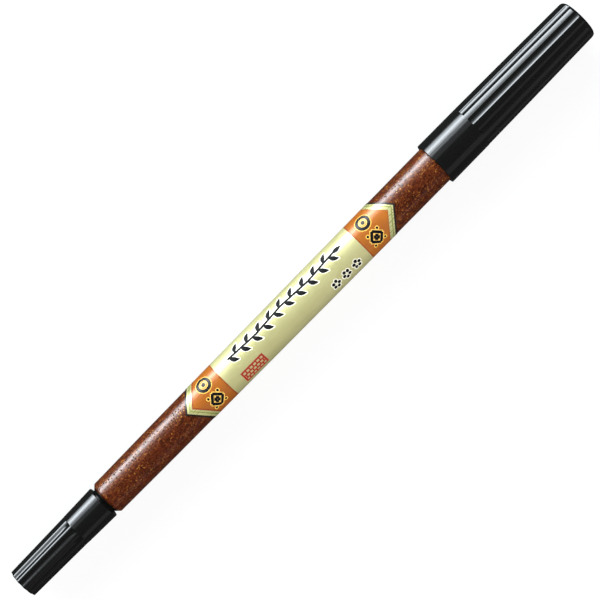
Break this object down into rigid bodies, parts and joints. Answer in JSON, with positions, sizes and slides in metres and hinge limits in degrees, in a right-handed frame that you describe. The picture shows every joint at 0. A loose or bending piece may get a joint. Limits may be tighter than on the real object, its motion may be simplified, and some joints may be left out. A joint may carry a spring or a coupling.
{
  "type": "calligraphy marker",
  "caption": "Twin-ended calligraphy brush pen with a burl barrel, a printed sleeve, a thick and a slim fluted pull-off cap, and a brush and a fine nib fed by a fibre reservoir.",
  "frame": {"origin": "centre of the capped pen, on its axis", "axes": "+X along the pen towards the broad cap, +Z out of the front of the label"},
  "size_m": [0.178, 0.0112, 0.0112],
  "materials": {
    "barrel": "brown burl print under a slightly pitted clear coat",
    "label": "printed foil film: orange ends, cream middle, gold borders",
    "black_plastic": "moulded, glossy",
    "pale_plastic": "natural polypropylene",
    "clear_film": "thin clear wrap",
    "ink_fibre": "polyester tow soaked with black ink",
    "brush_filament": "tapered synthetic filaments stained by ink",
    "nib_fibre": "bonded porous fibre"
  },
  "bodies": {
    "pen_body": {"barrel": "barrel", "label": "label", "reservoir_core": "ink_fibre", "reservoir_film": "clear_film", "fine_section": "black_plastic", "fine_nib": "nib_fibre", "fine_nib_sleeve": "pale_plastic", "broad_section": "black_plastic", "brush_head": "brush_filament", "brush_clamp_ring": "pale_plastic", "brush_feed_tube": "pale_plastic", "brush_feed_wick": "ink_fibre"},
    "broad_cap_unit": {"broad_cap": "black_plastic", "broad_inner_cap": "pale_plastic"},
    "fine_cap_unit": {"fine_cap": "black_plastic", "fine_inner_cap": "pale_plastic"}
  },
  "joints": [
    {"name": "broad_cap_slide", "type": "slide", "parent": "pen_body", "child": "broad_cap_unit", "axis": [1, 0, 0], "range_m": [0, 0.044]},
    {"name": "fine_cap_slide", "type": "slide", "parent": "pen_body", "child": "fine_cap_unit", "axis": [-1, 0, 0], "range_m": [0, 0.024]}
  ]
}
